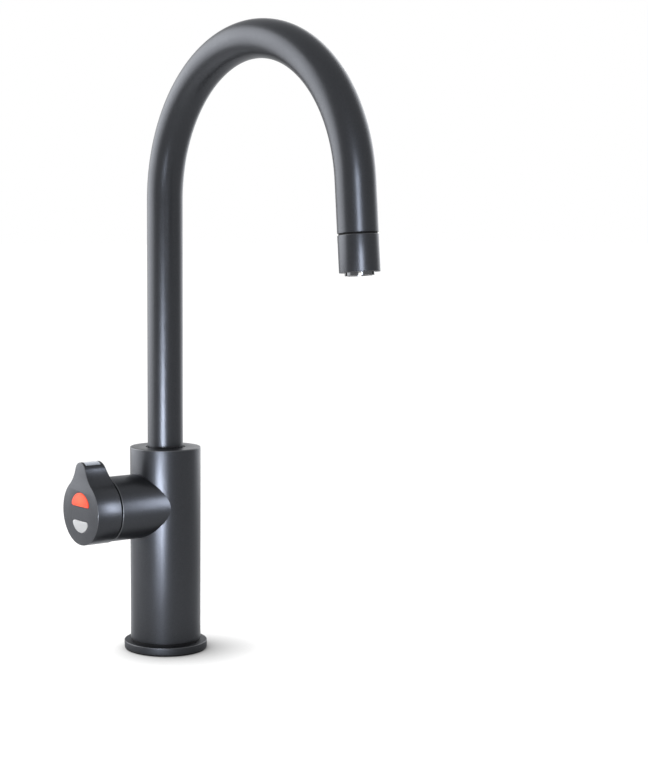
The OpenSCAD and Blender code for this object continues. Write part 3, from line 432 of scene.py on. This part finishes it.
def makeBody():
    s = bodySizes
    inner = s["radius"] - s["wall"]
    under = s["top"] - s["topWall"]
    shell = turned([(inner, s["foot"]), (s["radius"], s["foot"]), (s["radius"], s["top"]),
                    (s["hole"], s["top"]), (s["hole"], under), (inner, under)],
                   [(1, 0.2), (2, s["edge"]), (3, 0.25)], 160)
    cutters = []
    doorway = rod(armSizes["bore"], inner / 2, s["radius"] * 1.4)
    doorway.transform(armPlace)
    cutters.append(("DIFFERENCE", doorway))
    for height in screwHoles["heights"]:
        hole = rod(screwHoles["radius"], -2 * past, s["wall"] + 2 * past, 32)
        hole.transform(Matrix.Translation((0, s["radius"], height)) @ turnedAxes((90, 0, 0)))
        cutters.append(("DIFFERENCE", hole))
    finished(combined(shell, cutters), "bodyShell", gunmetal, "tap_body", "body_shell", highlightOn=onBodyRim)
    b = bushSizes
    bush = turned([(b["bore"], spoutSizes["foot"]), (b["radius"], spoutSizes["foot"]),
                   (b["radius"], b["top"]), (b["bore"], b["top"])], [(2, 0.2), (3, 0.2)])
    finished(bush, "neckBush", blackPlastic, "tap_body", "neck_bush")


makeBody()


# the bevel round the end of the control arm, which takes the painted highlight
def onArmRim(face):
    return onBevel(face) and face.calc_center_median().z > armSizes["reach"] - armSizes["edge"]


def makeArm():
    s = armSizes
    arm = turned([(s["bore"], 0), (s["radius"], 0), (s["radius"], s["reach"]), (s["seat"], s["reach"]),
                  (s["seat"], s["seatFrom"]), (s["bore"], s["seatFrom"])], [(2, s["edge"]), (3, 0.2)], 128)
    # the inner end follows the round side of the body
    for corner in arm.verts:
        if corner.co.z < 1:
            corner.co.z = sqrt(bodySizes["radius"] ** 2 - corner.co.y ** 2)
    finished(arm, "armHousing", gunmetal, "tap_body", "arm_housing", place=armPlace, highlightOn=onArmRim)


makeArm()


# riser, bend and straight end are one tube, grown from two rings
def makeSpout():
    s = spoutSizes
    tube = bmesh.new()
    for radius in (s["radius"], s["radius"] - s["wall"]):
        bmesh.ops.create_circle(tube, cap_ends=False, radius=radius, segments=96)
    foot = tube.edges[:]
    bmesh.ops.translate(tube, verts=tube.verts[:], vec=(0, 0, s["foot"]))

    def raised(edges, vector):
        grown = bmesh.ops.extrude_edge_only(tube, edges=edges)["geom"]
        bmesh.ops.translate(tube, verts=pointsOf(grown), vec=vector)
        return edgesOf(grown)

    top = raised(foot, (0, 0, s["rise"] - s["foot"]))
    ends = {v for e in top for v in e.verts}
    grown = bmesh.ops.spin(tube, geom=top + list(ends), cent=(0, -s["bend"], s["rise"]), axis=(1, 0, 0),
                           angle=radians(s["sweep"]), steps=96)
    last = edgesOf(grown["geom_last"])
    way = dropPlace.to_3x3() @ Vector((0, 0, s["drop"]))
    mouth = raised(last, way)
    bmesh.ops.bridge_loops(tube, edges=mouth)
    bmesh.ops.bridge_loops(tube, edges=foot)
    finished(tube, "spoutTube", gunmetal, "spout", "spout_tube")


makeSpout()

nozzleSizes = dict(sealRadius=11.8, sealFrom=31.5, collarFrom=32.7, mouth=55.3, inner=10.2, thread=10.5,
                   hole=9.2, outletWall=1.8, outletLength=10.0, outletProud=2.0, notches=6,
                   notchWidth=1.8, notchTurn=41)


def makeNozzle():
    s = nozzleSizes
    seal = turned([(s["inner"], s["sealFrom"]), (s["sealRadius"], s["sealFrom"]),
                   (s["sealRadius"], s["collarFrom"]), (s["inner"], s["collarFrom"])])
    finished(seal, "nozzleSeal", blackRubber, "spout", "nozzle_seal", place=dropPlace)
    collar = turned([(s["inner"], s["collarFrom"]), (spoutSizes["radius"], s["collarFrom"]),
                     (spoutSizes["radius"], s["mouth"]), (s["hole"], s["mouth"]),
                     (s["hole"], s["collarFrom"] + s["thread"]), (s["inner"], s["collarFrom"] + s["thread"])],
                    [(1, 0.4), (2, 0.35), (3, 0.15)])
    finished(collar, "nozzleCollar", gunmetal, "spout", "nozzle_collar", place=dropPlace, highlightOn=onBevel)
    end = s["mouth"] + s["outletProud"]
    inside = s["hole"] - s["outletWall"]
    start = end - s["outletLength"]
    ring = turned([(inside, start), (s["hole"], start), (s["hole"], end), (inside, end)],
                  [(2, 0.2), (3, 0.2)], 96)
    cutters = []
    for k in range(s["notches"]):
        notch = boxBlock((0, -s["notchWidth"] / 2, end - s["outletProud"]),
                         (s["hole"] + past, s["notchWidth"] / 2, end + s["outletProud"]))
        notch.transform(Matrix.Rotation(radians(s["notchTurn"]) + 2 * pi * k / s["notches"], 4, "Z"))
        cutters.append(("DIFFERENCE", notch))
    finished(combined(ring, cutters), "outletRing", chromePaintedDarkReflection, "spout", "outlet_ring", place=dropPlace)


makeNozzle()


# knob, its two buttons, and the strip and window in its lever's tip
buttonSizes = dict(corner=1.9, gap=0.25, proud=0.4, lip=0.8, lipDepth=0.9, lipFace=68.3, stem=1.7,
                   stemFrom=66.3, edge=0.35)
hotSizes = dict(dome=11.9, height=9.4, base=4.0)
safetySizes = dict(dome=10.8, height=8.2, base=6.0)
stripSizes = dict(start=55.95, length=14.0, width=10.2, depth=3.4, windowLength=12.0, windowWidth=9.2,
                  slip=0.2)


def knobOutline():
    s = knobSizes
    tip = s["tipHeight"] - s["tipRadius"]
    far, near = s["radius"] + s["waist"], s["tipRadius"] + s["waist"]
    waistX = (far ** 2 - near ** 2 + tip ** 2) / (2 * tip)
    waistY = sqrt(far ** 2 - waistX ** 2)
    tipTurn = atan2(waistY, waistX - tip)
    rootTurn = atan2(waistY, waistX)
    bend = rootTurn - tipTurn
    bm = bmesh.new()
    start = bm.verts.new((tip + s["tipRadius"] * cos(tipTurn), -s["tipRadius"] * sin(tipTurn), 0))
    here = swept(bm, start, (tip, 0, 0), 2 * tipTurn, 28)
    here = swept(bm, here, (waistX, waistY, 0), bend, 20)
    here = swept(bm, here, (0, 0, 0), 2 * (pi - rootTurn), 96)
    swept(bm, here, (waistX, -waistY, 0), bend, 20)
    return bm


def buttonOutline(dome, height, base, flip, grow=0.0):
    c = buttonSizes["corner"]
    middle = height - dome
    cornerY = sqrt((dome - c) ** 2 - (c - middle) ** 2)
    turn = atan2(cornerY, c - middle)
    bm = bmesh.new()
    start = bm.verts.new((-grow, -cornerY, 0))
    here = swept(bm, start, (c, -cornerY, 0), pi - turn, 10)
    here = swept(bm, here, (middle, 0, 0), 2 * turn, 40)
    here = swept(bm, here, (c, cornerY, 0), pi - turn, 10)
    bm.edges.new((here, start))
    bmesh.ops.translate(bm, verts=bm.verts[:], vec=(base, 0, 0))
    if flip:
        bmesh.ops.scale(bm, verts=bm.verts[:], vec=(-1, 1, 1))
    return bm


def hotOutline(grow=0.0):
    return buttonOutline(hotSizes["dome"], hotSizes["height"], hotSizes["base"], False, grow)


def safetyOutline(grow=0.0):
    return buttonOutline(safetySizes["dome"], safetySizes["height"], safetySizes["base"], True, grow)


def tipSlab(low, width, start, length):
    bm = prism(knobOutline(), start, start + length)
    beyond = low + 20  # well outside the lever's tip
    box = boxBlock((low, -width / 2, start - length), (beyond, width / 2, start + 2 * length))
    return combined(bm, [("INTERSECT", box)])


insideSizes = dict(hub=3.0, screwRing=17.5, screwAngles=(60, 120, 240, 300), boss=3.6, bossHole=1.0,
                   bossDepth=6.0, postY=16.5, post=2.0, postHole=0.8, postDepth=4.0, board=62.2, sink=0.5,
                   guideFrom=10.4, guideTo=32.1, guideWidth=4.8, guideLow=63.4, guideHigh=67.0)


# what is inside the knob: bosses for its four screws, posts for the button board, a slot for the light
def knobInside(cavityFace):
    s = insideSizes
    low = knobSizes["back"] + s["hub"]
    steps = []
    for angle in s["screwAngles"]:
        middle = (s["screwRing"] * cos(radians(angle)), s["screwRing"] * sin(radians(angle)))
        steps.append(("UNION", rod(s["boss"], low, cavityFace + s["sink"], 48, middle)))
        steps.append(("DIFFERENCE", rod(s["bossHole"], low - past, low + s["bossDepth"], 24, middle)))
    for side in (-s["postY"], s["postY"]):
        steps.append(("UNION", rod(s["post"], s["board"], cavityFace + s["sink"], 32, (0, side))))
        hole = rod(s["postHole"], s["board"] - past, s["board"] + s["postDepth"], 24, (0, side))
        steps.append(("DIFFERENCE", hole))
    half = s["guideWidth"] / 2
    slot = boxBlock((s["guideFrom"], -half, s["guideLow"]), (s["guideTo"], half, s["guideHigh"]))
    steps.append(("DIFFERENCE", slot))
    return steps


# the edges between the knob's sides and its back, which slants along the lever
def backLoop(bm, face):
    sides = [e for e in bm.edges if len(e.link_faces) == 2 and all(v.co.z < face - 5 for v in e.verts)]
    return [e for e in sides if sum(abs(f.normal.z) < 0.1 for f in e.link_faces) == 1
            and sum(f.normal.z < -0.9 for f in e.link_faces) == 1]


# the bevelled rim of the knob's face, which takes the painted highlight
def onKnobRim(face):
    rim = knobSizes["back"] + knobSizes["depth"]
    height = face.calc_center_median().z
    return 0.05 < face.normal.z < 0.98 and rim - knobSizes["faceEdge"] < height < rim


def makeKnob():
    s = knobSizes
    b = buttonSizes
    face = s["back"] + s["depth"]
    block = prism(knobOutline(), s["back"], face)
    root = s["radius"] - s["backSink"]
    slope = Vector((s["tipHeight"] - root, 0, s["backSlant"])).normalized()
    away = Vector((slope.z, 0, -slope.x))
    bmesh.ops.bisect_plane(block, geom=block.verts[:] + block.edges[:] + block.faces[:], dist=0.0001,
                           plane_co=(root, 0, s["back"]), plane_no=away, clear_outer=True)
    bmesh.ops.holes_fill(block, edges=[e for e in block.edges if e.is_boundary], sides=0)
    bmesh.ops.bevel(block, geom=flatLoop(block, face), offset=s["faceEdge"], affect="EDGES", segments=4,
                    profile=0.5, material=-1)
    bmesh.ops.bevel(block, geom=backLoop(block, face), offset=s["backEdge"], affect="EDGES", segments=3,
                    profile=0.5, material=-1)
    cavityFace = face - s["wall"]
    cutters = [("DIFFERENCE", rod(s["radius"] - s["wall"], s["back"] - past, cavityFace, 96))]
    cutters += knobInside(cavityFace)
    for outline in (hotOutline(b["gap"]), safetyOutline(b["gap"])):
        cutters.append(("DIFFERENCE", prism(outline, cavityFace - past, face + past)))
    t = stripSizes
    pocket = boxBlock((s["tipHeight"] - t["depth"], -t["width"] / 2, t["start"]),
                      (s["tipHeight"] + 2 * past, t["width"] / 2, t["start"] + t["length"]))
    cutters.append(("DIFFERENCE", pocket))
    knob = combined(block, cutters)
    finished(knob, "knobShell", gunmetal, "knob", "knob_shell", place=armPlace, highlightOn=onKnobRim)

    half = t["slip"] / 2
    low = s["tipHeight"] - t["depth"] + half
    strip = tipSlab(low, t["width"] - t["slip"], t["start"] + half, t["length"] - t["slip"])
    windowFrom = t["start"] + (t["length"] - t["windowLength"]) / 2
    hole = boxBlock((low - past, -t["windowWidth"] / 2, windowFrom),
                    (s["tipHeight"] + 2 * past, t["windowWidth"] / 2, windowFrom + t["windowLength"]))
    finished(combined(strip, [("DIFFERENCE", hole)]), "tipStrip", blackPlastic, "knob", "tip_strip",
             place=armPlace)
    window = tipSlab(low, t["windowWidth"] - t["slip"], windowFrom + half, t["windowLength"] - t["slip"])
    finished(window, "tipWindow", tipGlass, "knob", "tip_window", place=armPlace)


makeKnob()


def makeButton(name, node, body, finish, outline, middle):
    b = buttonSizes
    face = knobSizes["back"] + knobSizes["depth"] + b["proud"]
    cap = prism(outline(0.0), b["lipFace"], face)
    bmesh.ops.bevel(cap, geom=flatLoop(cap, face), offset=b["edge"], affect="EDGES", segments=4, profile=0.5,
                    material=-1)
    flange = prism(outline(b["lip"]), b["lipFace"] - b["lipDepth"], b["lipFace"])
    stem = rod(b["stem"], b["stemFrom"], b["lipFace"] - b["lipDepth"] / 2, 48, (middle, 0))
    finished(combined(cap, [("UNION", flange), ("UNION", stem)]), name, finish, body, node, place=armPlace)


makeButton("hotButton", "hot_button", "hot_button_body", hotGlow, hotOutline,
           hotSizes["base"] + hotSizes["height"] / 2)
makeButton("safetyButton", "safety_button", "safety_button_body", safetySilver, safetyOutline,
           -safetySizes["base"] - safetySizes["height"] / 2)
print("pieces are made")


# nodes that keep their solids get these finishes, by the name of the material they come with
finishOf = {
    "brass": brass, "steel": steel, "black_plastic": blackPlastic, "pale_plastic": palePlastic,
    "black_rubber": blackRubber, "board_green": boardGreen, "gunmetal": gunmetal, "chrome": chromePaintedDarkReflection,
}


solidSmoothing = dict(weld=0.002, split=30)  # millimetres and degrees


def dressNodes():
    for name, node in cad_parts.items():
        if node.hide_render:
            continue
        old = node.data.materials[0].name.split(".")[0] if node.data.materials else "steel"
        finish = finishOf.get(old, steel)
        node.data.materials.clear()
        node.data.materials.append(finish)
        node.data.polygons.foreach_set("use_smooth", [True] * len(node.data.polygons))
        weld = node.modifiers.new("weld", "WELD")
        weld.merge_threshold = solidSmoothing["weld"] * mm
        split = node.modifiers.new("split", "EDGE_SPLIT")
        split.split_angle = radians(solidSmoothing["split"])


dressNodes()
print("nodes are dressed")


# Lengths are in metres. Seen is the floor's tone for the camera and for shiny surfaces, and bounce its tone
# for the light it gives back.
floorSizes = dict(halfWidth=30.0, nearShadow=0.30, farWhite=0.90, whiteShare=0.8, white=1.08, contact=0.055,
                  contactPower=2.6, seen=0.96, bounce=0.62, rough=0.9, shine=0.1)


# the rays that see the white background: the camera's, and those that metal and glass send on
def whiteRays(nodes, links):
    rays = nodes.new("ShaderNodeLightPath")
    total = rays.outputs["Is Camera Ray"]
    for kind in ("Is Glossy Ray", "Is Transmission Ray"):
        plus = nodes.new("ShaderNodeMath")
        plus.operation = "MAXIMUM"
        links.new(total, plus.inputs[0])
        links.new(rays.outputs[kind], plus.inputs[1])
        total = plus.outputs["Value"]
    return total


def makeFloor():
    s = floorSizes
    bm = bmesh.new()
    bmesh.ops.create_grid(bm, x_segments=1, y_segments=1, size=s["halfWidth"])
    mesh = bpy.data.meshes.new("floor")
    bm.to_mesh(mesh)
    bm.free()
    floor = bpy.data.objects.new("floor", mesh)
    scene.collection.objects.link(floor)
    made, nodes, links, shader = newMaterial("paleFloor")
    shader.inputs["Base Color"].default_value = [s["bounce"]] * 3 + [1]
    shader.inputs["Roughness"].default_value = s["rough"]
    shader.inputs["Specular IOR Level"].default_value = s["shine"]
    output = nodes["Material Output"]
    place = nodes.new("ShaderNodeTexCoord")
    away = nodes.new("ShaderNodeVectorMath")
    away.operation = "LENGTH"
    links.new(place.outputs["Object"], away.inputs[0])
    share = spread(nodes, links, away.outputs["Value"], s["whiteShare"], 1.0, s["nearShadow"], s["farWhite"])
    # the white part is darkened close to the tap by its occlusion: a painted contact shadow
    contact = nodes.new("ShaderNodeAmbientOcclusion")
    contact.inputs["Distance"].default_value = s["contact"]
    paintedContactShadow = nodes.new("ShaderNodeMath")
    paintedContactShadow.operation = "POWER"
    paintedContactShadow.inputs[1].default_value = s["contactPower"]
    links.new(contact.outputs["AO"], paintedContactShadow.inputs[0])
    white = nodes.new("ShaderNodeEmission")
    links.new(spread(nodes, links, paintedContactShadow.outputs["Value"], 0, s["white"], 0, 1), white.inputs["Strength"])
    lit = nodes.new("ShaderNodeBsdfDiffuse")
    lit.inputs["Color"].default_value = [s["seen"]] * 3 + [1]
    seen = nodes.new("ShaderNodeMixShader")
    links.new(share, seen.inputs["Fac"])
    links.new(lit.outputs["BSDF"], seen.inputs[1])
    links.new(white.outputs["Emission"], seen.inputs[2])
    either = nodes.new("ShaderNodeMixShader")
    links.new(whiteRays(nodes, links), either.inputs["Fac"])
    links.new(shader.outputs["BSDF"], either.inputs[1])
    links.new(seen.outputs["Shader"], either.inputs[2])
    links.new(either.outputs["Shader"], output.inputs["Surface"])
    mesh.materials.append(made)


worldLevels = dict(plain=0.62, white=1.0)  # plain lights the object, white is the background


def makeWorld():
    world = bpy.data.worlds.new("studio")
    scene.world = world
    world.use_nodes = True
    world.node_tree.nodes["Background"].inputs["Color"].default_value = (1, 1, 1, 1)
    nodes, links = world.node_tree.nodes, world.node_tree.links
    level = nodes.new("ShaderNodeMapRange")
    level.inputs["To Min"].default_value = worldLevels["plain"]
    level.inputs["To Max"].default_value = worldLevels["white"]
    links.new(whiteRays(nodes, links), level.inputs["Value"])
    links.new(level.outputs["Result"], nodes["Background"].inputs["Strength"])


coolWhite = (0.94, 1.0, 1.12)
neutralWhite = (1.0, 1.0, 1.0)
# Bearing and spread are in degrees, and a bearing turns from the spout's side towards the knob's. Level is
# the brightness along the lamp's own axis, and the other sizes are in metres. A lamp with glossOnly shows in
# reflections alone, so that pale pieces don't clip, and one with plainOnly never shows there. A lamp with
# onlyOn lights that group of pieces alone.
lamps = {
    "frontLow": dict(bearing=49.5, distance=0.8, height=0.05, width=0.28, tall=0.10, level=158,
                     aim=(0, 0, 0.10), tint=coolWhite, spread=36, glossOnly=True),
    "nozzleSlim": dict(bearing=16.5, distance=0.486, height=0.42, width=0.094, tall=0.5, level=66,
                       aim=(0.018, -0.21, 0.42), tint=coolWhite, spread=26, glossOnly=True),
    "armSide": dict(bearing=-37, distance=2.0, height=0.42, width=0.50, tall=0.98, level=27, aim=(0, 0, 0.1),
                    tint=coolWhite, onlyOn="controlPieces", glossOnly=True),
    "leftBox": dict(bearing=146, distance=1.0, height=0.45, width=1.7, tall=1.5, level=7.6, aim=(0, 0, 0.2),
                    tint=neutralWhite, spread=92, glossOnly=True),
    "plainTop": dict(bearing=120, distance=0.8, height=1.7, width=1.4, tall=1.4, level=5, aim=(0, 0, 0.1),
                     tint=neutralWhite, plainOnly=True),
    "rightBox": dict(bearing=-108, distance=1.0, height=0.45, width=1.5, tall=1.3, level=3.4, aim=(0, 0, 0.2),
                     tint=neutralWhite, spread=80),
    "floorLeft": dict(bearing=130, distance=0.42, height=0.45, width=0.5, tall=0.5, level=32,
                      aim=(-0.25, 0.26, 0), tint=neutralWhite, spread=90, onlyOn="floorOnly"),
}


# a narrower spread makes an area lamp brighter along its own axis, by this factor
def spreadGain(angle):
    if angle >= 180:
        return 1.0
    half = radians(angle) / 2
    return tan(half) / (tan(half) - half)


def makeLamps():
    for name, s in lamps.items():
        angle = s.get("spread", 180)
        data = bpy.data.lights.new(name, "AREA")
        data.shape = "RECTANGLE"
        data.size = s["width"]
        data.size_y = s["tall"]
        data.color = s["tint"]
        data.spread = radians(angle)
        data.energy = s["level"] * pi * s["width"] * s["tall"] / spreadGain(angle)
        lamp = bpy.data.objects.new(name, data)
        scene.collection.objects.link(lamp)
        turn = radians(s["bearing"])
        lamp.location = (-sin(turn) * s["distance"], -cos(turn) * s["distance"], s["height"])
        aim = Vector(s["aim"]) - lamp.location
        lamp.rotation_euler = aim.to_track_quat("-Z", "Y").to_euler()
        lamp.visible_camera = False
        lamp.visible_diffuse = not s.get("glossOnly", False)
        lamp.visible_glossy = not s.get("plainOnly", False)
        if "onlyOn" in s:
            lamp.light_linking.receiver_collection = bpy.data.collections[s["onlyOn"]]


# place, lens and sensor in millimetres, tilt and turn in degrees
cameraSizes = dict(place=(-669.685, -974.600, 296.502), tilt=-6.274, turn=-35.49, lens=79.440, sensor=36.0,
                   shiftX=0.1699, shiftY=0.0452)


def makeCamera():
    s = cameraSizes
    data = bpy.data.cameras.new("camera")
    data.sensor_fit = "AUTO"
    data.sensor_width = s["sensor"]
    data.lens = s["lens"]
    data.shift_x = s["shiftX"]
    data.shift_y = s["shiftY"]
    camera = bpy.data.objects.new("camera", data)
    scene.collection.objects.link(camera)
    camera.location = Vector(s["place"]) * mm
    camera.rotation_euler = (radians(90 + s["tilt"]), 0, radians(s["turn"]))
    scene.camera = camera


# a group of pieces, for a lamp with onlyOn
def gather(group, *names):
    made = bpy.data.collections.new(group)
    for name in names:
        made.objects.link(bpy.data.objects[name])


makeFloor()
gather("controlPieces", "armHousing", "knobShell", "tipStrip", "tipWindow", "hotButton", "safetyButton",
       "glide_ring")
gather("floorOnly", "floor")
makeWorld()
makeLamps()
makeCamera()
print("stage is set")
